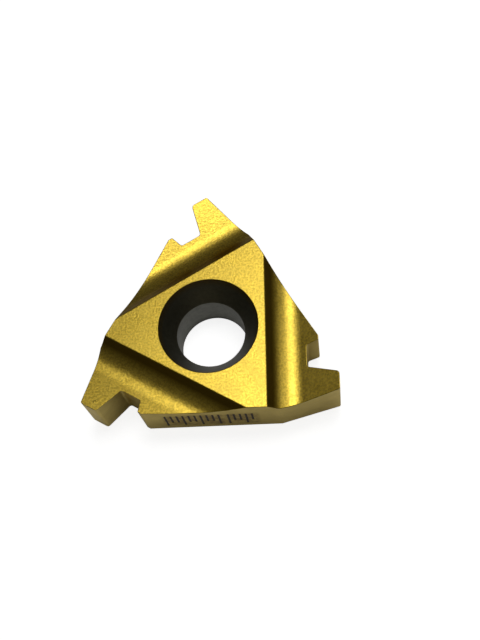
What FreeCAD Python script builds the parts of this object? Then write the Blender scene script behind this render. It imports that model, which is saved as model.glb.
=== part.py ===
"""Triangular laydown insert for turning an internal 4 mm trapezoidal thread.

One piece of coated sintered carbide. The origin is on the axis of the screw hole, in the ground seat
face, with +Z up to the rake side and +X towards one of the three cutting teeth.
"""
import FreeCAD, Part
import math
import os
import Sketcher

NODE = "threading_insert"
TEETH = 3
HALF_TURN = 180.0
TOLERANCE = 1e-4

SIZES = (
    # the triangular blank
    ("inscribed_diameter", 12.7),
    ("thickness", 4.76),
    # the screw hole and its conical seat
    ("bore_diameter", 5.05),
    ("bore_length", 3.0),
    ("countersink_diameter", 7.3),
    ("rim_round", 0.08),
    # the full-profile tooth: how far the corners of its tip stand inside the lines of the two sides
    # that meet there, and the thread form that it cuts
    ("tip_margin", 0.25),
    ("tip_setback", 1.15),
    ("tip_flat", 1.33),
    ("tooth_depth", 2.25),
    ("flank_angle", 15.0),
    ("root_flat", 1.64),
    ("root_radius", 0.22),
    ("outer_nose_radius", 0.15),
    ("inner_nose_radius", 0.28),
    # the low ridge between the notch and the side, which dresses the flank of the next turn
    ("ridge_crest", 0.32),
    ("ridge_flank_angle", 20.0),
    ("ridge_round", 0.12),
    # the straight chip groove across each corner
    ("groove_land", 0.49),
    ("wall_angle", 37.0),
    ("groove_radius", 2.5),
    ("rake_angle", 14.0),
    ("tip_drop", 0.1),
    # the chamfer round the seat face
    ("chamfer_height", 0.6),
    ("chamfer_inset", 0.7),
    # how far each cut runs past the surface that it opens
    ("overrun", 0.1),
)

# Places that follow from the sizes, as expressions in the insert's frame with the tooth along +X.
SIDE = "Sizes.inscribed_diameter / 2"
FLANK = "tan(Sizes.flank_angle * 1 deg)"
RIDGE_FLANK = "tan(Sizes.ridge_flank_angle * 1 deg)"
TIP_OUTER_Y = "(Sizes.tip_setback - Sizes.inscribed_diameter / 2)"
TIP_INNER_Y = f"({TIP_OUTER_Y} + Sizes.tip_flat)"
# the next side, whose outward normal is at 30 degrees, passes outside the tip's inner corner
TIP_X = f"(({SIDE} - Sizes.tip_margin - {TIP_INNER_Y} / 2) / cos(30 deg))"
ROOT_X = f"({TIP_X} - Sizes.tooth_depth)"
ROOT_NEAR_Y = f"({TIP_INNER_Y} + Sizes.tooth_depth * {FLANK})"
ROOT_FAR_Y = f"({ROOT_NEAR_Y} + Sizes.root_flat)"
# the crest is cut where the ridge has narrowed to its width between its flank and that side
RIDGE_RISE = f"Sizes.inscribed_diameter - {ROOT_FAR_Y} + {ROOT_X} * {RIDGE_FLANK} - Sizes.ridge_crest"
RIDGE_X = f"(({RIDGE_RISE}) / (2 * cos(30 deg) + {RIDGE_FLANK}))"
RIDGE_Y = f"({ROOT_FAR_Y} + ({RIDGE_X} - {ROOT_X}) * {RIDGE_FLANK})"
CREST_END_Y = f"({RIDGE_Y} + Sizes.ridge_crest)"
# a sharp corner between a flank and a face square to the tooth moves sideways by these shares
# of the distance that both are set in
FLANK_SHARE = "tan(45 deg - Sizes.flank_angle * 0.5 deg)"
RIDGE_SHARE = "tan(45 deg - Sizes.ridge_flank_angle * 0.5 deg)"
# clear of the blank's sharp corner, which is one inscribed diameter from the axis
OUTSIDE_X = "Sizes.inscribed_diameter * 1.1"
OUTSIDE_Y = "Sizes.inscribed_diameter * 0.75"
ABOVE = "Sizes.thickness + Sizes.overrun"
BELOW = "-Sizes.overrun"


def make_sheet(doc):
    """The driving dimensions, in millimetres and degrees."""
    sheet = doc.addObject("Spreadsheet::Sheet", "Sizes")
    for row, (alias, value) in enumerate(SIZES, start=1):
        sheet.set(f"A{row}", alias)
        sheet.set(f"B{row}", str(value))
        sheet.setAlias(f"B{row}", alias)
    doc.recompute()
    return sheet


def origin_item(body, role):
    return next(item for item in body.Origin.OriginFeatures if item.Role == role)


def value_of(owner, expression):
    return float(owner.evalExpression(expression))


def new_sketch(body, name, role, lift=None):
    """A sketch on one of the body's planes, raised by an expression where one is given."""
    sketch = body.newObject("Sketcher::SketchObject", name)
    sketch.AttachmentSupport = (origin_item(body, role), [""])
    sketch.MapMode = "FlatFace"
    if lift is not None:
        sketch.setExpression("AttachmentOffset.Base.z", lift)
    return sketch


def bind(sketch, constraint, name, expression):
    index = sketch.addConstraint(constraint)
    sketch.renameConstraint(index, name)
    sketch.setExpression(f"Constraints.{name}", expression)


def outline(sketch, corners):
    """Draw a closed outline. Each corner is (name, x, y, radius): expressions, radius None if sharp."""
    count = len(corners)
    points = [FreeCAD.Vector(value_of(sketch, x), value_of(sketch, y), 0) for _, x, y, _ in corners]
    starts = []
    ends = []
    for i, (_, _, _, radius) in enumerate(corners):
        back = (points[i - 1] - points[i]).normalize()
        ahead = (points[(i + 1) % count] - points[i]).normalize()
        reach = 0.0
        if radius is not None:
            reach = value_of(sketch, radius) / math.tan(back.getAngle(ahead) / 2)
        ends.append(points[i] + back * reach)
        starts.append(points[i] + ahead * reach)
    lines = []
    for i in range(count):
        segment = Part.LineSegment(starts[i], ends[(i + 1) % count])
        lines.append(sketch.addGeometry(segment, False))
    for i, (name, x, y, radius) in enumerate(corners):
        before = lines[i - 1]
        after = lines[i]
        if radius is None:
            sketch.addConstraint(Sketcher.Constraint("Coincident", before, 2, after, 1))
            place = (after, 1)
        else:
            arc = add_corner_arc(sketch, points[i], ends[i], starts[i], before, after)
            size = value_of(sketch, radius)
            bind(sketch, Sketcher.Constraint("Radius", arc, size), f"{name}_radius", radius)
            mark = sketch.addGeometry(Part.Point(points[i]), True)
            sketch.addConstraint(Sketcher.Constraint("PointOnObject", mark, 1, before))
            sketch.addConstraint(Sketcher.Constraint("PointOnObject", mark, 1, after))
            place = (mark, 1)
        bind(sketch, Sketcher.Constraint("DistanceX", -1, 1, *place, points[i].x), f"{name}_x", x)
        bind(sketch, Sketcher.Constraint("DistanceY", -1, 1, *place, points[i].y), f"{name}_y", y)
    return sketch


def add_corner_arc(sketch, corner, leave, join, before, after):
    """Round one corner: an arc from leave to join, tangent to the lines before and after it."""
    middle = (leave + join) * 0.5
    to_middle = middle - corner
    distance = (leave - corner).Length
    centre = corner + to_middle * (distance ** 2 / to_middle.dot(leave - corner))
    radius = (leave - centre).Length
    turns_left = (corner - leave).cross(join - corner).z > 0
    first, last = (leave, join) if turns_left else (join, leave)
    circle = Part.Circle(centre, FreeCAD.Vector(0, 0, 1), radius)
    first_angle = math.atan2(first.y - centre.y, first.x - centre.x)
    last_angle = math.atan2(last.y - centre.y, last.x - centre.x)
    arc = sketch.addGeometry(Part.ArcOfCircle(circle, first_angle, last_angle), False)
    leave_end, join_end = (1, 2) if turns_left else (2, 1)
    sketch.addConstraint(Sketcher.Constraint("Tangent", before, 2, arc, leave_end))
    sketch.addConstraint(Sketcher.Constraint("Tangent", arc, join_end, after, 1))
    return arc


def tip_outline(sketch, inset):
    """The region outside the outer flank and the tip flat, with both set in by an amount."""
    tip_x = f"({TIP_X} - {inset})"
    tip_y = f"({TIP_OUTER_Y} + {inset} * {FLANK_SHARE})"
    start_x = f"({tip_x} - ({tip_y} + {OUTSIDE_Y}) / {FLANK})"
    return outline(sketch, (
        ("flank_end", start_x, f"-{OUTSIDE_Y}", None),
        ("tip_outer", tip_x, tip_y, None),
        ("tip_end", tip_x, OUTSIDE_Y, None),
        ("far_inner", OUTSIDE_X, OUTSIDE_Y, None),
        ("far_outer", OUTSIDE_X, f"-{OUTSIDE_Y}", None),
    ))


def notch_outline(sketch, inset):
    """The notch between tooth and ridge, and the space over the ridge, set in by an amount."""
    root_x = f"({ROOT_X} - {inset})"
    ridge_x = f"({RIDGE_X} - {inset})"
    near_y = f"({ROOT_NEAR_Y} - {inset} * {FLANK_SHARE})"
    far_y = f"({ROOT_FAR_Y} + {inset} * {RIDGE_SHARE})"
    ridge_y = f"({RIDGE_Y} + {inset} * {RIDGE_SHARE})"
    mouth_y = f"({near_y} - ({OUTSIDE_X} - {root_x}) * {FLANK})"
    return outline(sketch, (
        ("mouth", OUTSIDE_X, mouth_y, None),
        ("over_ridge", OUTSIDE_X, OUTSIDE_Y, None),
        ("ridge_end", ridge_x, OUTSIDE_Y, None),
        ("ridge", ridge_x, ridge_y, None),
        ("root_far", root_x, far_y, "Sizes.root_radius"),
        ("root_near", root_x, near_y, "Sizes.root_radius"),
    ))


def cut_through(body, name, sketch, length):
    """A pocket to both sides of its sketch."""
    pocket = body.newObject("PartDesign::Pocket", name)
    pocket.Profile = sketch
    pocket.Midplane = True
    pocket.setExpression("Length", length)
    return pocket


def repeat_round_axis(body, name, originals):
    pattern = body.newObject("PartDesign::PolarPattern", name)
    pattern.Originals = originals
    pattern.Axis = (origin_item(body, "Z_Axis"), [""])
    pattern.Angle = 2 * HALF_TURN
    pattern.Occurrences = TEETH
    body.Tip = pattern
    return pattern


def triangular_blank(body):
    """The pressed triangle: its three sides touch the inscribed circle."""
    corner = "Sizes.inscribed_diameter"
    lean = "Sizes.inscribed_diameter * cos(30 deg)"
    sketch = outline(new_sketch(body, "blank_outline", "XY_Plane"), (
        ("top", "0", corner, None),
        ("left", f"-{lean}", f"-{SIDE}", None),
        ("right", lean, f"-{SIDE}", None),
    ))
    pad = body.newObject("PartDesign::Pad", "blank")
    pad.Profile = sketch
    pad.setExpression("Length", "Sizes.thickness")
    return pad


def seat_chamfers(body):
    """The chamfer between the seat face and each side, cut by a wedge that runs past both ends."""
    slope = "Sizes.chamfer_inset / Sizes.chamfer_height"
    sketch = outline(new_sketch(body, "side_chamfer_outline", "YZ_Plane"), (
        ("upper", f"-{SIDE} - Sizes.overrun * {slope}", "Sizes.chamfer_height + Sizes.overrun", None),
        ("outer", f"-{SIDE} - Sizes.overrun * {slope}", BELOW, None),
        ("inner", f"-{SIDE} + Sizes.chamfer_inset + Sizes.overrun * {slope}", BELOW, None),
    ))
    wedge = cut_through(body, "side_chamfer", sketch, "Sizes.inscribed_diameter * 4")
    return repeat_round_axis(body, "side_chamfers", [wedge])


def cutting_profile(body):
    """The ground thread form at each corner: outer flank, tip, inner flank, root and ridge."""
    tip_sketch = tip_outline(new_sketch(body, "tip_outline", "XY_Plane"), "0")
    notch_sketch = notch_outline(new_sketch(body, "notch_outline", "XY_Plane"), "0")
    tip = cut_through(body, "tip_cut", tip_sketch, "Sizes.thickness * 3")
    notch = cut_through(body, "notch_cut", notch_sketch, "Sizes.thickness * 3")
    return repeat_round_axis(body, "cutting_profiles", [tip, notch])


def upright_edges(shape, x, y):
    """Names of the upright edges at a place in plan, and at its two turns round the axis."""
    names = []
    for turn in range(TEETH):
        spin = FreeCAD.Rotation(FreeCAD.Vector(0, 0, 1), turn * 2 * HALF_TURN / TEETH)
        place = spin.multVec(FreeCAD.Vector(x, y, 0))
        for number, edge in enumerate(shape.Edges, start=1):
            off = [math.hypot(v.X - place.x, v.Y - place.y) for v in edge.Vertexes]
            if len(off) == 2 and max(off) < TOLERANCE:
                names.append(f"Edge{number}")
    return names


def round_edges(body, name, radius, places):
    base = body.Tip
    names = []
    for x, y in places:
        names.extend(upright_edges(base.Shape, x, y))
    fillet = body.newObject("PartDesign::Fillet", name)
    fillet.Base = (base, names)
    fillet.setExpression("Radius", radius)
    body.Tip = fillet
    return fillet


def nose_rounds(doc, body, sheet):
    """The small radii on the corners of the cutting edge and of the ridge."""
    doc.recompute()
    rounds = (
        ("outer_nose_rounds", "Sizes.outer_nose_radius", ((TIP_X, TIP_OUTER_Y),)),
        ("inner_nose_rounds", "Sizes.inner_nose_radius", ((TIP_X, TIP_INNER_Y),)),
        ("ridge_rounds", "Sizes.ridge_round", ((RIDGE_X, RIDGE_Y), (RIDGE_X, CREST_END_Y))),
    )
    for name, radius, corners in rounds:
        doc.recompute()
        places = [(value_of(sheet, x), value_of(sheet, y)) for x, y in corners]
        round_edges(body, name, radius, places)


def profile_chamfers(body):
    """The seat chamfer carried round the cutting profile, as ruled cuts between two set-in outlines."""
    low_inset = "(Sizes.chamfer_inset * (1 + Sizes.overrun / Sizes.chamfer_height))"
    high_inset = "(-Sizes.chamfer_inset * Sizes.overrun / Sizes.chamfer_height)"
    high = "Sizes.chamfer_height + Sizes.overrun"
    cuts = []
    for name, draw in (("tip_chamfer", tip_outline), ("notch_chamfer", notch_outline)):
        low_sketch = draw(new_sketch(body, f"{name}_low", "XY_Plane", BELOW), low_inset)
        high_sketch = draw(new_sketch(body, f"{name}_high", "XY_Plane", high), high_inset)
        cut = body.newObject("PartDesign::SubtractiveLoft", name)
        cut.Profile = low_sketch
        cut.Sections = [high_sketch]
        cut.Ruled = True
        cuts.append(cut)
    return repeat_round_axis(body, "profile_chamfers", cuts)


def chip_grooves(body):
    """A straight groove across each corner: a steep wall off the raised centre, then the rake face."""
    edge_x = "(Sizes.countersink_diameter / 2 + Sizes.groove_land)"
    wall = "tan(Sizes.wall_angle * 1 deg)"
    rake = "tan(Sizes.rake_angle * 1 deg)"
    meet_x = f"((Sizes.tip_drop + {TIP_X} * {rake} + {edge_x} * {wall}) / ({wall} + {rake}))"
    meet_z = f"(Sizes.thickness - ({meet_x} - {edge_x}) * {wall})"
    rake_end_z = f"(Sizes.thickness - Sizes.tip_drop + ({OUTSIDE_X} - {TIP_X}) * {rake})"
    clear_z = f"({rake_end_z} + Sizes.thickness)"
    sketch = outline(new_sketch(body, "chip_groove_outline", "XZ_Plane"), (
        ("edge", edge_x, "Sizes.thickness", None),
        ("floor", meet_x, meet_z, "Sizes.groove_radius"),
        ("rake_end", OUTSIDE_X, rake_end_z, None),
        ("clear_far", OUTSIDE_X, clear_z, None),
        ("clear_near", edge_x, clear_z, None),
    ))
    groove = cut_through(body, "chip_groove", sketch, "Sizes.inscribed_diameter * 4")
    return repeat_round_axis(body, "chip_grooves", [groove])


def screw_hole(body):
    """The hole for the clamping screw, with a conical seat for its head."""
    bore = "Sizes.bore_diameter / 2"
    rim = "Sizes.countersink_diameter / 2"
    flare = f"(({rim} - {bore}) / (Sizes.thickness - Sizes.bore_length))"
    sketch = outline(new_sketch(body, "screw_hole_outline", "XZ_Plane"), (
        ("axis_low", "0", BELOW, None),
        ("bore_low", bore, BELOW, None),
        ("bore_high", bore, "Sizes.bore_length", None),
        ("rim", f"{rim} + Sizes.overrun * {flare}", ABOVE, None),
        ("axis_high", "0", ABOVE, None),
    ))
    hole = body.newObject("PartDesign::Groove", "screw_hole")
    hole.Profile = sketch
    hole.ReferenceAxis = (origin_item(body, "Z_Axis"), [""])
    hole.Angle = 2 * HALF_TURN
    body.Tip = hole
    return hole


def rim_round(doc, body, sheet):
    """The softened rim of the countersink."""
    doc.recompute()
    base = body.Tip
    radius = value_of(sheet, "Sizes.countersink_diameter / 2")
    names = []
    for number, edge in enumerate(base.Shape.Edges, start=1):
        curve = edge.Curve
        if isinstance(curve, Part.Circle) and abs(curve.Radius - radius) < TOLERANCE:
            names.append(f"Edge{number}")
    fillet = body.newObject("PartDesign::Fillet", "rim_round")
    fillet.Base = (base, names)
    fillet.setExpression("Radius", "Sizes.rim_round")
    body.Tip = fillet
    return fillet


def make_insert(doc, sheet):
    body = doc.addObject("PartDesign::Body", NODE)
    body.Label = NODE
    triangular_blank(body)
    seat_chamfers(body)
    cutting_profile(body)
    nose_rounds(doc, body, sheet)
    profile_chamfers(body)
    chip_grooves(body)
    screw_hole(body)
    rim_round(doc, body, sheet)
    doc.recompute()
    return body


def check(doc, body):
    for item in doc.Objects:
        if "Invalid" in item.State or "Error" in item.State:
            raise RuntimeError(f"{item.Name} failed: {item.State}")
    shape = body.Shape
    if shape.isNull() or not shape.isValid():
        raise RuntimeError(f"{body.Label} has no valid shape")
    if len(shape.Solids) != 1:
        raise RuntimeError(f"{body.Label} has {len(shape.Solids)} solids")


def main():
    doc = FreeCAD.newDocument("insert")
    sheet = make_sheet(doc)
    body = make_insert(doc, sheet)
    check(doc, body)
    os.makedirs("parts", exist_ok=True)
    body.Shape.exportStep(f"parts/{body.Label}.step")
    print(f"{body.Label}: {body.Shape.Volume:.3f} mm3, {len(body.Shape.Faces)} faces")


main()
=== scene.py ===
"""Looks of a triangular laydown threading insert.

The visible skin is cut again from the blank at a fine resolution, with softened edges and burnt strokes
on its front side, and a bead of coat sits on one rake face. Each zone has its own finish: blasted gold
rake side, ground sides, dark countersink, bare bore and seat. Shapes are made in millimetres.
"""
import math
import bmesh
import bpy
from mathutils import Matrix, Vector


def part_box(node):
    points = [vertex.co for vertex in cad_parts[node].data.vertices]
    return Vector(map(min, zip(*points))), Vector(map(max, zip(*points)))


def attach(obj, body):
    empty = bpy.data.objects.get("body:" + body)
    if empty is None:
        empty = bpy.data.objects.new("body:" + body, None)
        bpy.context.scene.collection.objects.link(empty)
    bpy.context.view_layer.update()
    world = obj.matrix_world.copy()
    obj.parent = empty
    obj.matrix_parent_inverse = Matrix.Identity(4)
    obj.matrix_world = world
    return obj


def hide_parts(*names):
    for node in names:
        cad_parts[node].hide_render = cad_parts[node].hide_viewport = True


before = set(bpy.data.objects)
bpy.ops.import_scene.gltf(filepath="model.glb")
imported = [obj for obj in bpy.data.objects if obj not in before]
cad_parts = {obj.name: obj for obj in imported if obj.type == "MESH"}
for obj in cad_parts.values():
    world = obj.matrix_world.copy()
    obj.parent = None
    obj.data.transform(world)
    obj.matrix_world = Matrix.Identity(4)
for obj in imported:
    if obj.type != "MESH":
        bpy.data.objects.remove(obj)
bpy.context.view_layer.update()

NODE = "threading_insert"
MM = 0.001
TEETH = 3
ARC_STEP = math.radians(5)

# Sizes of the insert in millimetres, in its frame with the tooth along +X.
# The side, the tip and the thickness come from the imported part.
low_corner, high_corner = (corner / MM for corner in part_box(NODE))
SIDE = -low_corner.y
TIP_X = high_corner.x
THICKNESS = high_corner.z
BORE_RADIUS = 2.525
BORE_LENGTH = 3.0
RIM_RADIUS = 3.65
RIM_ROUND = 0.08
TIP_SETBACK = 1.15
TIP_FLAT = 1.33
TOOTH_DEPTH = 2.25
FLANK_DEGREES = 15
ROOT_FLAT = 1.64
ROOT_RADIUS = 0.22
OUTER_NOSE = 0.15
INNER_NOSE = 0.28
RIDGE_CREST = 0.32
RIDGE_DEGREES = 20
RIDGE_ROUND = 0.12
HALF_CORNER = math.radians(30)
RIM_LAND = 0.49
WALL = math.radians(37)
RAKE = math.radians(14)
GROOVE_RADIUS = 2.5
TIP_DROP = 0.1
CHAMFER_HEIGHT = 0.6
CHAMFER_INSET = 0.7
EDGE_SOFTNESS = 0.045
EDGE_SEGMENTS = 3
HOLE_STEPS = 144
# how far a cutter passes what it cuts, the reach of the largest ones, and the distance that joins two points
OVERRUN = 0.1
REACH = 14.0
JOIN_DISTANCE = 0.001
# the burnt strokes on the front side: groups of (first stroke, number of strokes)
MARK_GROUPS = ((-3.4, 10), (1.15, 5))
MARK_PITCH = 0.43
MARK_WIDTH = 0.16
MARK_DEPTH = 0.02
MARK_LOW = 1.2
MARK_SHORT_LOW = 1.9
MARK_HIGH = 3.4
LONG_MARK_EVERY = 3
# the brown halo round a group of strokes: where it begins and ends to fade, sideways, upwards and inwards
HALO_ACROSS = (-0.1, 0.25)
HALO_UP = (0.9, 1.35)
HALO_INWARD = (0.02, 0.06)
# the bead of coat, its place and the normal of the rake face under it
DROPLET_PLACE = (-8.157, -5.361, 4.467)
DROPLET_NORMAL = (0.12, 0.20, 0.97)
DROPLET_WIDTH = 0.17
DROPLET_DEPTH = 0.8 * DROPLET_WIDTH
DROPLET_HEIGHT = 0.085
DROPLET_BULGES = (0.12, 0.1)
# faces that meet below the first angle are joined, edges above the second show as edges, and those above
# the third are softened
FLAT_ANGLE = math.radians(0.2)
SHARP_ANGLE = math.radians(11)
SOFT_ANGLE = math.radians(25)
# the finish zones, and how far the normal of a face leans into the hole, up, down or out in each
ZONES = ("rake_side", "ground_side", "countersink", "bore", "seat", "mark")
HOLE_LEAN = 0.6
RAKE_LEAN = 0.55
SEAT_LEAN = 0.95
MARK_LEAN = 0.9
# painted shade: the gold is painted dark brown where its normal rises less than the first number, as on the
# steep groove walls, and plain where it rises more than the second
PAINTED_SHADE_RISE = (0.81, 0.93)
# its roughness. Under about 0.28, specks show in the denoised render
GOLD_ROUGHNESS = (0.285, 0.335)
# a painted reflection in the countersink, a brown ring: how far below the rake side it begins and is whole
REFLECTION_RING_BELOW_TOP = (0.5, 0.1)

# The camera of the photograph: its focus in pixels of a picture of this height, its place in metres, and
# its right, down and forward axes.
FOCAL_PIXELS = 979.09
PHOTO_HEIGHT = 640
SENSOR_HEIGHT = 36.0
CAMERA_PLACE = (0.00879, -0.027029, 0.069561)
CAMERA_AXES = (
    (0.99459, -0.01031, -0.10335),
    (-0.04942, -0.92216, -0.38364),
    (-0.09135, 0.38667, -0.91768),
)
# The floor, in metres. It is a hair below the seat face.
FLOOR_RADIUS = 0.9
FLOOR_STEPS = 96
FLOOR_GAP = 0.01 * MM
# it glows a little less out to the first reach, where the lamps light it too, so that it keeps the shadow
FLOOR_GLOW = 0.85
LIT_REACH = 0.06
UNLIT_REACH = 0.24
# metal sees a part of the floor's white near the object, less of it under the contact shadow and far off
MIRRORED_SHARE = 0.55
FAR_SHARE = MIRRORED_SHARE / 10
NEAR_REACH = 0.01
FAR_REACH = 0.018
SHADOW_REACH = 0.006
SHADOW_DEPTH = 3.0
SHADOW_SAMPLES = 8
# a painted pool of light in the floor's glow under the hole, which the walls of the hole see: this part of
# the white, fading over a last few tenths of a mm
HOLE_LIGHT = 0.45
HOLE_BLUR = 0.3
# the horizon is white up to the first height of a direction and dim from the second
HORIZON = (0.07, 0.12)
ROOM_LEVEL = 0.05
# the bank of soft boxes: (azimuth, elevation, radiance), each square, with its sizes in metres
LAMPS = (
    (60, 78, 3.6),
    (120, 78, 3.0),
    (30, 66, 1.1),
    (60, 66, 2.3),
    (90, 66, 2.3),
    (20, 54, 1.5),
    (80, 54, 1.5),
    (16, 42, 0.5),
    (-62, 38, 1.6),
)
LAMP_SIZE = 0.063
LAMP_DISTANCE = 0.3

# Slopes and places that follow from the sizes.
FLANK = math.tan(math.radians(FLANK_DEGREES))
FLANK_SHARE = math.tan(math.radians(45 - FLANK_DEGREES / 2))
RIDGE_FLANK = math.tan(math.radians(RIDGE_DEGREES))
RIDGE_SHARE = math.tan(math.radians(45 - RIDGE_DEGREES / 2))
GROOVE_EDGE = RIM_RADIUS + RIM_LAND
TIP_OUTER_Y = TIP_SETBACK - SIDE
TIP_INNER_Y = TIP_OUTER_Y + TIP_FLAT
ROOT_X = TIP_X - TOOTH_DEPTH
ROOT_NEAR_Y = TIP_INNER_Y + TOOTH_DEPTH * FLANK
ROOT_FAR_Y = ROOT_NEAR_Y + ROOT_FLAT
RIDGE_X = ((2 * SIDE - ROOT_FAR_Y + ROOT_X * RIDGE_FLANK - RIDGE_CREST)
           / (2 * math.cos(HALF_CORNER) + RIDGE_FLANK))
RIDGE_Y = ROOT_FAR_Y + (RIDGE_X - ROOT_X) * RIDGE_FLANK


def add_object(name, data):
    """A new object in the scene."""
    made = bpy.data.objects.new(name, data)
    bpy.context.scene.collection.objects.link(made)
    return made


def rounded(corners):
    """Points of a closed outline. Each corner is (u, v, radius), with radius 0 if it is sharp."""
    points = []
    count = len(corners)
    for i, (u, v, radius) in enumerate(corners):
        corner = Vector((u, v))
        if not radius:
            points.append(corner)
            continue
        back = (Vector(corners[i - 1][:2]) - corner).normalized()
        ahead = (Vector(corners[(i + 1) % count][:2]) - corner).normalized()
        half = back.angle(ahead) / 2
        centre = corner + (back + ahead).normalized() * (radius / math.sin(half))
        start = corner + back * (radius / math.tan(half)) - centre
        turn = math.pi - 2 * half
        side = 1 if back.cross(ahead) < 0 else -1
        steps = max(2, round(turn / ARC_STEP))
        for k in range(steps + 1):
            points.append(centre + Matrix.Rotation(side * turn * k / steps, 2) @ start)
    return points


def solid(name, low, high):
    """A closed solid between two outlines of as many points."""
    count = len(low)
    mesh = bpy.data.meshes.new(name)
    faces = [tuple(reversed(range(count))), tuple(range(count, 2 * count))]
    faces += [(i, (i + 1) % count, count + (i + 1) % count, count + i) for i in range(count)]
    mesh.from_pydata([*low, *high], [], faces)
    form = bmesh.new()
    form.from_mesh(mesh)
    bmesh.ops.recalc_face_normals(form, faces=form.faces)
    form.to_mesh(mesh)
    form.free()
    return add_object(name, mesh)


def level(points, z):
    """The points of an outline at one height."""
    return [(p[0], p[1], z) for p in points]


def three_times(name, low, high):
    """The same cutter at each of the three teeth."""
    cutters = []
    for tooth in range(TEETH):
        spin = Matrix.Rotation(tooth * math.tau / TEETH, 3, "Z")
        outlines = ([spin @ Vector(point) for point in outline] for outline in (low, high))
        cutters.append(solid(f"{name}_{tooth}", *outlines))
    return cutters


def plan_outline():
    """The whole cutting profile seen from above."""
    flank_start_x = TIP_X - TIP_SETBACK / FLANK
    tooth = (
        (flank_start_x, -SIDE, 0.0),
        (TIP_X, TIP_OUTER_Y, OUTER_NOSE),
        (TIP_X, TIP_INNER_Y, INNER_NOSE),
        (ROOT_X, ROOT_NEAR_Y, ROOT_RADIUS),
        (ROOT_X, ROOT_FAR_Y, ROOT_RADIUS),
        (RIDGE_X, RIDGE_Y, RIDGE_ROUND),
        (RIDGE_X, RIDGE_Y + RIDGE_CREST, RIDGE_ROUND),
    )
    corners = []
    for k in range(TEETH):
        spin = Matrix.Rotation(k * math.tau / TEETH, 2)
        corners += [(*(spin @ Vector((u, v))), radius) for u, v, radius in tooth]
    return rounded(corners)


def tip_outline(inset):
    """The region outside the outer flank and the tip, both set in by an amount."""
    tip_x = TIP_X - inset
    tip_y = TIP_OUTER_Y + inset * FLANK_SHARE
    return rounded((
        (tip_x - (tip_y + REACH) / FLANK, -REACH, 0.0),
        (REACH, -REACH, 0.0),
        (REACH, REACH, 0.0),
        (tip_x, REACH, 0.0),
        (tip_x, tip_y, 0.0),
    ))


def notch_outline(inset):
    """The notch between tooth and ridge, and the space over the ridge, set in by an amount."""
    root_x = ROOT_X - inset
    near_y = ROOT_NEAR_Y - inset * FLANK_SHARE
    return rounded((
        (REACH, near_y - (REACH - root_x) * FLANK, 0.0),
        (REACH, REACH, 0.0),
        (RIDGE_X - inset, REACH, 0.0),
        (RIDGE_X - inset, RIDGE_Y + inset * RIDGE_SHARE, 0.0),
        (root_x, ROOT_FAR_Y + inset * RIDGE_SHARE, ROOT_RADIUS),
        (root_x, near_y, ROOT_RADIUS),
    ))


def chamfer_cutters():
    """The chamfer round the seat face: along each side, round each tooth and in each notch."""
    slope = CHAMFER_INSET / CHAMFER_HEIGHT
    wedge = (
        (-SIDE - OVERRUN * slope, CHAMFER_HEIGHT + OVERRUN),
        (-SIDE - OVERRUN * slope, -OVERRUN),
        (-SIDE + CHAMFER_INSET + OVERRUN * slope, -OVERRUN),
    )
    left, right = ([(x, y, z) for y, z in wedge] for x in (-REACH, REACH))
    cutters = three_times("side_chamfer", left, right)
    low_inset = CHAMFER_INSET + OVERRUN * slope
    high_inset = -OVERRUN * slope
    for name, outline in (("tip_chamfer", tip_outline), ("notch_chamfer", notch_outline)):
        low = level(outline(low_inset), -OVERRUN)
        high = level(outline(high_inset), CHAMFER_HEIGHT + OVERRUN)
        cutters += three_times(name, low, high)
    return cutters


def groove_cutters():
    """The straight chip groove across each corner: steep wall, rounded floor and rake face."""
    wall = math.tan(WALL)
    rake = math.tan(RAKE)
    meet_x = (TIP_DROP + TIP_X * rake + GROOVE_EDGE * wall) / (wall + rake)
    meet_z = THICKNESS - (meet_x - GROOVE_EDGE) * wall
    end_z = THICKNESS - TIP_DROP + (REACH - TIP_X) * rake
    top_z = end_z + OVERRUN
    profile = rounded((
        (GROOVE_EDGE - (top_z - THICKNESS) / wall, top_z, 0.0),
        (meet_x, meet_z, GROOVE_RADIUS),
        (REACH, end_z, 0.0),
        (REACH, top_z, 0.0),
    ))
    near, far = ([(x, y, z) for x, z in profile] for y in (-REACH, REACH))
    return three_times("chip_groove", near, far)


def turned(name, profile, steps):
    """A closed solid of revolution. Its profile runs up from the axis and back to it."""
    rings = []
    points = []
    for radius, z in profile:
        count = steps if radius > 0 else 1
        rings.append(range(len(points), len(points) + count))
        angles = [k * math.tau / steps for k in range(count)]
        points += [(radius * math.cos(angle), radius * math.sin(angle), z) for angle in angles]
    faces = []
    for low, high in zip(rings, rings[1:]):
        for k in range(steps):
            after = (k + 1) % steps
            around = (low[k % len(low)], low[after % len(low)], high[after % len(high)], high[k % len(high)])
            faces.append(tuple(dict.fromkeys(around)))
    mesh = bpy.data.meshes.new(name)
    mesh.from_pydata(points, [], faces)
    return add_object(name, mesh)


def hole_cutter():
    """The bore with its conical seat. Its rim is a little rounded and runs out over the rake side."""
    top = THICKNESS + OVERRUN
    outer_radius = RIM_RADIUS + 5 * RIM_ROUND
    corners = (
        (0.0, -OVERRUN, 0.0),
        (BORE_RADIUS, -OVERRUN, 0.0),
        (BORE_RADIUS, BORE_LENGTH, 0.0),
        (RIM_RADIUS, THICKNESS, RIM_ROUND),
        (outer_radius, THICKNESS + RIM_ROUND / 4, 0.0),
        (outer_radius, top, 0.0),
        (0.0, top, 0.0),
    )
    return turned("hole", rounded(corners), HOLE_STEPS)


def mark_cutters():
    """Plain graduation strokes burnt into the front side, short ones with some long ones."""
    cutters = []
    for first, count in MARK_GROUPS:
        for k in range(count):
            x = first + k * MARK_PITCH
            low = MARK_SHORT_LOW if k % LONG_MARK_EVERY else MARK_LOW
            outside, inside = -SIDE - OVERRUN, -SIDE + MARK_DEPTH
            square = [(x, outside), (x + MARK_WIDTH, outside), (x + MARK_WIDTH, inside), (x, inside)]
            cutters.append(solid("mark", level(square, low), level(square, MARK_HIGH)))
    return cutters


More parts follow.
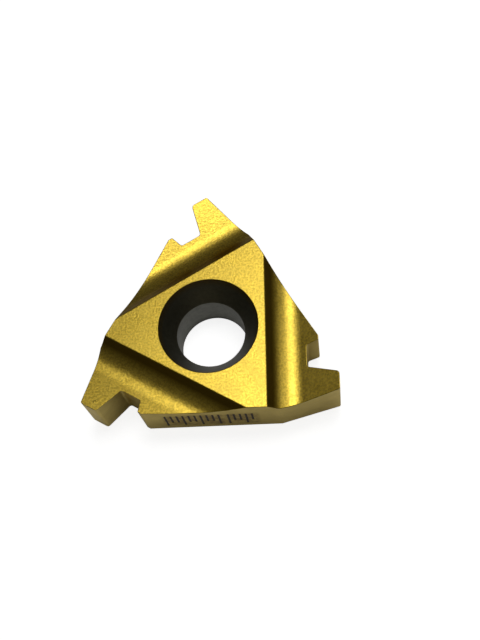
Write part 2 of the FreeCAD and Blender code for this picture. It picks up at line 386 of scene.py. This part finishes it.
def cut(piece, cutter):
    """Take a cutter out of a piece, and join the points that it leaves too close to each other."""
    step = piece.modifiers.new("cut", "BOOLEAN")
    step.object = cutter
    step.operation = "DIFFERENCE"
    step.solver = "EXACT"
    mesh = bpy.data.meshes.new_from_object(piece.evaluated_get(bpy.context.evaluated_depsgraph_get()))
    piece.modifiers.clear()
    form = bmesh.new()
    form.from_mesh(mesh)
    bmesh.ops.remove_doubles(form, verts=form.verts, dist=JOIN_DISTANCE)
    bmesh.ops.dissolve_degenerate(form, edges=form.edges, dist=JOIN_DISTANCE)
    form.to_mesh(mesh)
    form.free()
    piece.data = mesh
    bpy.data.objects.remove(cutter)


def cut_skin():
    """The blank less every cutter."""
    outline = plan_outline()
    blank = solid("insert_skin", level(outline, 0.0), level(outline, THICKNESS))
    for cutter in chamfer_cutters() + groove_cutters() + [hole_cutter()] + mark_cutters():
        cut(blank, cutter)
    return blank


def zone_of(centre, normal):
    """The finish zone of a face, from its centre and normal in millimetres."""
    radial = Vector((centre.x, centre.y, 0.0))
    radius = radial.length
    if radius < RIM_RADIUS + RIM_ROUND and normal.dot(radial) < -HOLE_LEAN * radius:
        return ZONES.index("bore") if centre.z < BORE_LENGTH else ZONES.index("countersink")
    if normal.z > RAKE_LEAN:
        return ZONES.index("rake_side")
    if normal.z < -SEAT_LEAN:
        return ZONES.index("seat")
    if abs(centre.y + SIDE - MARK_DEPTH) < MARK_DEPTH / 4 and normal.y < -MARK_LEAN:
        return ZONES.index("mark")
    return ZONES.index("ground_side")


def in_stroke(face):
    """Whether a face is the floor or a wall of a burnt stroke, which is too shallow to be softened."""
    centre = face.calc_center_median()
    past_ridge = centre.x > MARK_GROUPS[0][0] - MARK_WIDTH
    return past_ridge and MARK_DEPTH / 4 < centre.y + SIDE < 1.5 * MARK_DEPTH


def finish_skin(skin):
    """Clean faces, softened edges, true normals and a finish for each zone."""
    form = bmesh.new()
    form.from_mesh(skin.data)
    bmesh.ops.dissolve_limit(form, angle_limit=FLAT_ANGLE, verts=form.verts, edges=form.edges)
    form.normal_update()
    for face in form.faces:
        face.smooth = True
        face.material_index = zone_of(face.calc_center_median(), face.normal)
    weight = form.edges.layers.float.new("bevel_weight_edge")
    for edge in form.edges:
        turn = edge.calc_face_angle(0.0)
        edge.smooth = turn < SHARP_ANGLE
        edge[weight] = float(turn > SOFT_ANGLE and not any(in_stroke(face) for face in edge.link_faces))
    form.to_mesh(skin.data)
    form.free()
    soft = skin.modifiers.new("soft_edges", "BEVEL")
    soft.width = EDGE_SOFTNESS
    soft.segments = EDGE_SEGMENTS
    soft.limit_method = "WEIGHT"
    soft.use_clamp_overlap = False
    soft.miter_outer = "MITER_ARC"
    soft.harden_normals = True
    even = skin.modifiers.new("even_normals", "WEIGHTED_NORMAL")
    even.keep_sharp = True
    mesh = bpy.data.meshes.new_from_object(skin.evaluated_get(bpy.context.evaluated_depsgraph_get()))
    skin.modifiers.clear()
    mesh.transform(Matrix.Scale(MM, 4))
    skin.data = mesh


def coat_droplet():
    """A small uneven bead of coat on the rake face of one tooth, sunk past its widest."""
    form = bmesh.new()
    bmesh.ops.create_icosphere(form, subdivisions=3, radius=1.0)
    for point in form.verts:
        x, y, z = point.co
        uneven = 1 + DROPLET_BULGES[0] * x * y - DROPLET_BULGES[1] * y * z
        point.co = Vector((DROPLET_WIDTH * x, DROPLET_DEPTH * y, DROPLET_HEIGHT * z)) * uneven
    mesh = bpy.data.meshes.new("coat_droplet")
    form.to_mesh(mesh)
    form.free()
    for face in mesh.polygons:
        face.use_smooth = True
    tilt = Vector((0.0, 0.0, 1.0)).rotation_difference(Vector(DROPLET_NORMAL)).to_matrix().to_4x4()
    mesh.transform(Matrix.Scale(MM, 4) @ Matrix.Translation(DROPLET_PLACE) @ tilt)
    return add_object("coat_droplet", mesh)


def node(tree, kind, inputs=None, **settings):
    """A shader node. Each input is a value or the socket that feeds it."""
    made = tree.nodes.new(kind)
    for key, value in settings.items():
        setattr(made, key, value)
    for key, value in (inputs or {}).items():
        if isinstance(value, bpy.types.NodeSocket):
            tree.links.new(value, made.inputs[key])
        else:
            made.inputs[key].default_value = value
    return made


def finish(name, metallic, roughness=None):
    """A new material: its tree, its surface shader and the place on the object in millimetres.

    Without a roughness here, the material links an uneven one.
    """
    material = bpy.data.materials.new(name)
    material.use_nodes = True
    tree = material.node_tree
    surface = tree.nodes["Principled BSDF"]
    surface.inputs["Metallic"].default_value = metallic
    if roughness is not None:
        surface.inputs["Roughness"].default_value = roughness
    place = node(tree, "ShaderNodeTexCoord").outputs["Object"]
    place = node(tree, "ShaderNodeVectorMath", {0: place, "Scale": 1 / MM}, operation="SCALE").outputs[0]
    return material, tree, surface, place


def noise(tree, place, scale, detail=2.0, roughness=0.5):
    """Uneven grey from 0 to 1, with about this many spots to a unit of length."""
    made = node(tree, "ShaderNodeTexNoise", {"Vector": place, "Scale": scale, "Detail": detail,
                                             "Roughness": roughness})
    return made.outputs["Fac"]


def stretched(tree, place, factors):
    """A place scaled by a factor along each axis, so that a noise there is drawn into lines."""
    return node(tree, "ShaderNodeVectorMath", {0: place, 1: factors}, operation="MULTIPLY").outputs[0]


def z_of(tree, vector):
    """The Z part of a place or a direction."""
    return node(tree, "ShaderNodeSeparateXYZ", {0: vector}).outputs["Z"]


def spread(tree, value, low, high, to_low, to_high):
    """A value between low and high mapped to another range, and held there outside it."""
    made = node(tree, "ShaderNodeMapRange", {"Value": value, "From Min": low, "From Max": high,
                                             "To Min": to_low, "To Max": to_high})
    return made.outputs["Result"]


def blend(tree, share, one, other):
    """One colour with a share of another."""
    return node(tree, "ShaderNodeMix", {0: share, 6: one, 7: other}, data_type="RGBA").outputs[2]


def combine(tree, operation, one, other):
    """Two values put together by an operation of the Math node."""
    return node(tree, "ShaderNodeMath", {0: one, 1: other}, operation=operation).outputs[0]


def product(tree, *values):
    """All the values multiplied."""
    made = values[0]
    for value in values[1:]:
        made = combine(tree, "MULTIPLY", made, value)
    return made


def distance_from(tree, value, middle):
    """How far a value is from a number."""
    off = combine(tree, "SUBTRACT", value, middle)
    return node(tree, "ShaderNodeMath", {0: off}, operation="ABSOLUTE").outputs[0]


def bump(tree, height, depth):
    """Fine relief: a height from 0 to 1 stands for a depth in millimetres."""
    made = node(tree, "ShaderNodeBump", {"Height": height, "Distance": depth * MM, "Strength": 1.0})
    return made.outputs["Normal"]


def blasted_gold():
    """Titanium nitride on a blasted face: satin and finely grained, with painted shade that turns the steep
    groove walls brown.
    """
    material, tree, surface, place = finish("blasted_gold", 1.0)
    grain = noise(tree, place, 6.5)
    patches = noise(tree, place, 0.9)
    tone = spread(tree, grain, 0.39, 0.61, 0.0, 1.0)
    colour = blend(tree, tone, (0.69, 0.475, 0.060, 1), (0.98, 0.695, 0.093, 1))
    colour = blend(tree, spread(tree, patches, 0.35, 0.7, 0.0, 0.35), colour, (0.82, 0.60, 0.10, 1))
    rise = z_of(tree, node(tree, "ShaderNodeTexCoord").outputs["Normal"])
    # painted shade: where the normal rises little, on the steep groove walls, the gold is painted dark brown
    colour = blend(tree, spread(tree, rise, *PAINTED_SHADE_RISE, 1.0, 0.0), colour, (0.26, 0.16, 0.015, 1))
    tree.links.new(colour, surface.inputs["Base Color"])
    tree.links.new(spread(tree, patches, 0.3, 0.7, *GOLD_ROUGHNESS), surface.inputs["Roughness"])
    tree.links.new(bump(tree, grain, 0.009), surface.inputs["Normal"])
    return material


def mark_halo(tree, place, first, count):
    """How strongly the heat of burning a group of strokes has browned the coat round them."""
    across, inward, up = node(tree, "ShaderNodeSeparateXYZ", {0: place}).outputs
    half_width = count * MARK_PITCH / 2
    off = distance_from(tree, across, first + half_width)
    high = distance_from(tree, up, (MARK_LOW + MARK_HIGH) / 2)
    return product(
        tree,
        spread(tree, off, half_width + HALO_ACROSS[0], half_width + HALO_ACROSS[1], 1.0, 0.0),
        spread(tree, high, *HALO_UP, 1.0, 0.0),
        spread(tree, inward, -SIDE + HALO_INWARD[0], -SIDE + HALO_INWARD[1], 1.0, 0.0),
        spread(tree, noise(tree, place, 2.6), 0.35, 0.6, 0.15, 0.75),
    )


def ground_gold():
    """The coat over the ground sides: smooth gold, with grinding lines along the side."""
    material, tree, surface, place = finish("ground_gold", 1.0)
    lines = noise(tree, stretched(tree, place, (0.6, 0.6, 14.0)), 1.0, 3.0, 0.6)
    clouds = spread(tree, noise(tree, place, 0.8, 3.0), 0.3, 0.7, 0.0, 1.0)
    colour = blend(tree, clouds, (0.56, 0.43, 0.13, 1), (0.68, 0.53, 0.17, 1))
    for first, count in MARK_GROUPS:
        colour = blend(tree, mark_halo(tree, place, first, count), colour, (0.21, 0.12, 0.035, 1))
    tree.links.new(colour, surface.inputs["Base Color"])
    surface.inputs["Specular Tint"].default_value = (0.9, 0.86, 0.72, 1)
    tree.links.new(spread(tree, lines, 0.3, 0.7, 0.30, 0.42), surface.inputs["Roughness"])
    tree.links.new(bump(tree, lines, 0.002), surface.inputs["Normal"])
    return material


def dark_countersink():
    """The coat in the countersink: charcoal, with a painted reflection as a brown ring under its rim."""
    material, tree, surface, place = finish("dark_countersink", 0.9, 0.38)
    grain = noise(tree, place, 4.0, 3.0)
    low, high = (THICKNESS - below for below in REFLECTION_RING_BELOW_TOP)
    # painted reflection: a brown band of the gold side, painted as a ring under the rim
    ring = spread(tree, z_of(tree, place), low, high, 0.0, 1.0)
    colour = blend(tree, ring, (0.16, 0.15, 0.105, 1), (0.19, 0.13, 0.04, 1))
    colour = blend(tree, spread(tree, grain, 0.35, 0.7, 0.0, 0.5), colour, (0.11, 0.10, 0.07, 1))
    tree.links.new(colour, surface.inputs["Base Color"])
    tree.links.new(bump(tree, grain, 0.004), surface.inputs["Normal"])
    return material


def bare_bore():
    """Sintered carbide in the bore, which the coat hardly reaches: matt grey."""
    material, tree, surface, place = finish("bare_bore", 0.5, 0.5)
    grain = noise(tree, place, 3.0, 4.0, 0.6)
    tone = spread(tree, grain, 0.3, 0.7, 0.0, 1.0)
    colour = blend(tree, tone, (0.22, 0.22, 0.19, 1), (0.31, 0.305, 0.26, 1))
    tree.links.new(colour, surface.inputs["Base Color"])
    tree.links.new(bump(tree, grain, 0.006), surface.inputs["Normal"])
    return material


def ground_seat():
    """The seat face, ground bare: grey, with parallel grinding lines."""
    material, tree, surface, place = finish("ground_seat", 1.0, 0.36)
    lines = noise(tree, stretched(tree, place, (0.35, 16.0, 1.0)), 1.0, 4.0, 0.65)
    tone = spread(tree, lines, 0.3, 0.7, 0.0, 1.0)
    colour = blend(tree, tone, (0.20, 0.19, 0.17, 1), (0.33, 0.32, 0.29, 1))
    tree.links.new(colour, surface.inputs["Base Color"])
    tree.links.new(bump(tree, lines, 0.003), surface.inputs["Normal"])
    return material


def burnt_mark():
    """The burnt floor of the strokes on the front side."""
    material, tree, surface, place = finish("burnt_mark", 0.2, 0.6)
    grain = noise(tree, place, 9.0, 3.0)
    tone = spread(tree, grain, 0.3, 0.7, 0.0, 1.0)
    colour = blend(tree, tone, (0.022, 0.014, 0.006, 1), (0.06, 0.042, 0.018, 1))
    tree.links.new(colour, surface.inputs["Base Color"])
    tree.links.new(bump(tree, grain, 0.004), surface.inputs["Normal"])
    return material


def background_share(tree, mirrored_share):
    """How much of the white background a ray sees: the camera's all of it, one from metal or glass a part."""
    path = node(tree, "ShaderNodeLightPath").outputs
    mirrored = combine(tree, "MAXIMUM", path["Is Glossy Ray"], path["Is Transmission Ray"])
    return combine(tree, "MAXIMUM", path["Is Camera Ray"], product(tree, mirrored, mirrored_share))


def white_floor():
    """The floor's material. The camera sees it white, metal a part of that, and it keeps a faint shadow."""
    material = bpy.data.materials.new("white_floor")
    material.use_nodes = True
    tree = material.node_tree
    surface = tree.nodes["Principled BSDF"]
    surface.inputs["Roughness"].default_value = 1.0
    surface.inputs["Specular IOR Level"].default_value = 0.0
    surface.inputs["Emission Color"].default_value = (1.0, 1.0, 1.0, 1.0)
    place = node(tree, "ShaderNodeTexCoord").outputs["Object"]
    fibres = noise(tree, place, 900.0)
    colour = blend(tree, fibres, (0.78, 0.78, 0.78, 1), (0.82, 0.82, 0.82, 1))
    tree.links.new(colour, surface.inputs["Base Color"])
    distance = node(tree, "ShaderNodeVectorMath", {0: place}, operation="LENGTH").outputs["Value"]
    near = spread(tree, distance, NEAR_REACH, FAR_REACH, MIRRORED_SHARE, FAR_SHARE)
    occlusion = node(tree, "ShaderNodeAmbientOcclusion", {"Distance": SHADOW_REACH}, samples=SHADOW_SAMPLES)
    shadow = combine(tree, "POWER", occlusion.outputs["AO"], SHADOW_DEPTH)
    # painted light: a brighter patch in the floor's glow under the hole, seen in metal
    painted_hole_light = spread(tree, distance, (BORE_RADIUS - HOLE_BLUR) * MM, BORE_RADIUS * MM, HOLE_LIGHT, 0.0)
    mirrored_share = product(tree, near, combine(tree, "MAXIMUM", shadow, painted_hole_light))
    glow = spread(tree, distance, LIT_REACH, UNLIT_REACH, FLOOR_GLOW, 1.0)
    strength = product(tree, background_share(tree, mirrored_share), glow)
    tree.links.new(strength, surface.inputs["Emission Strength"])
    return material


def pale_floor():
    """A round white floor just under the seat face."""
    form = bmesh.new()
    bmesh.ops.create_circle(form, cap_ends=True, segments=FLOOR_STEPS, radius=FLOOR_RADIUS)
    mesh = bpy.data.meshes.new("floor")
    form.to_mesh(mesh)
    form.free()
    mesh.materials.append(white_floor())
    floor = add_object("floor", mesh)
    floor.location.z = -FLOOR_GAP


def dim_room():
    """The room round the table: its horizon is white to the camera and faint in metal, and the rest dim."""
    world = bpy.data.worlds.new("room")
    bpy.context.scene.world = world
    world.use_nodes = True
    tree = world.node_tree
    height = z_of(tree, node(tree, "ShaderNodeTexCoord").outputs["Generated"])
    horizon = product(tree, spread(tree, height, *HORIZON, 1.0, 0.0), background_share(tree, FAR_SHARE))
    sky = tree.nodes["Background"]
    sky.inputs["Color"].default_value = (1.0, 1.0, 1.0, 1.0)
    tree.links.new(combine(tree, "MAXIMUM", horizon, ROOM_LEVEL), sky.inputs["Strength"])


def soft_box(azimuth, elevation, radiance):
    """A square soft box at the lamps' distance in a direction from the object, turned to it."""
    lamp = bpy.data.lights.new("soft_box", "AREA")
    lamp.shape = "SQUARE"
    lamp.size = LAMP_SIZE
    lamp.energy = radiance * math.pi * LAMP_SIZE ** 2
    around = math.radians(azimuth)
    up = math.radians(elevation)
    toward = Vector((math.cos(up) * math.cos(around), math.cos(up) * math.sin(around), math.sin(up)))
    holder = add_object("soft_box", lamp)
    holder.location = toward * LAMP_DISTANCE
    holder.rotation_euler = (-toward).to_track_quat("-Z", "Y").to_euler()
    holder.visible_camera = False


def camera_view():
    """The camera of the photograph: a short distance off, steeply from above."""
    camera = bpy.data.cameras.new("camera")
    camera.sensor_fit = "VERTICAL"
    camera.sensor_height = SENSOR_HEIGHT
    camera.lens = FOCAL_PIXELS * SENSOR_HEIGHT / PHOTO_HEIGHT
    camera.clip_start = 0.001
    camera.clip_end = 10.0
    holder = add_object("camera", camera)
    right, down, ahead = (Vector(row) for row in CAMERA_AXES)
    turn = Matrix((right, -down, -ahead)).transposed()
    holder.matrix_world = Matrix.Translation(Vector(CAMERA_PLACE)) @ turn.to_4x4()
    bpy.context.scene.camera = holder


skin = cut_skin()
finish_skin(skin)
droplet = coat_droplet()
# the finishes in the order of the zones
for make in (blasted_gold, ground_gold, dark_countersink, bare_bore, ground_seat, burnt_mark):
    skin.data.materials.append(make())
droplet.data.materials.append(skin.data.materials[0])
for piece in (skin, droplet):
    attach(piece, "root")
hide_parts(NODE)

pale_floor()
dim_room()
for azimuth, elevation, radiance in LAMPS:
    soft_box(azimuth, elevation, radiance)
camera_view()

bpy.context.scene.view_settings.view_transform = "Standard"
bpy.context.view_layer.update()
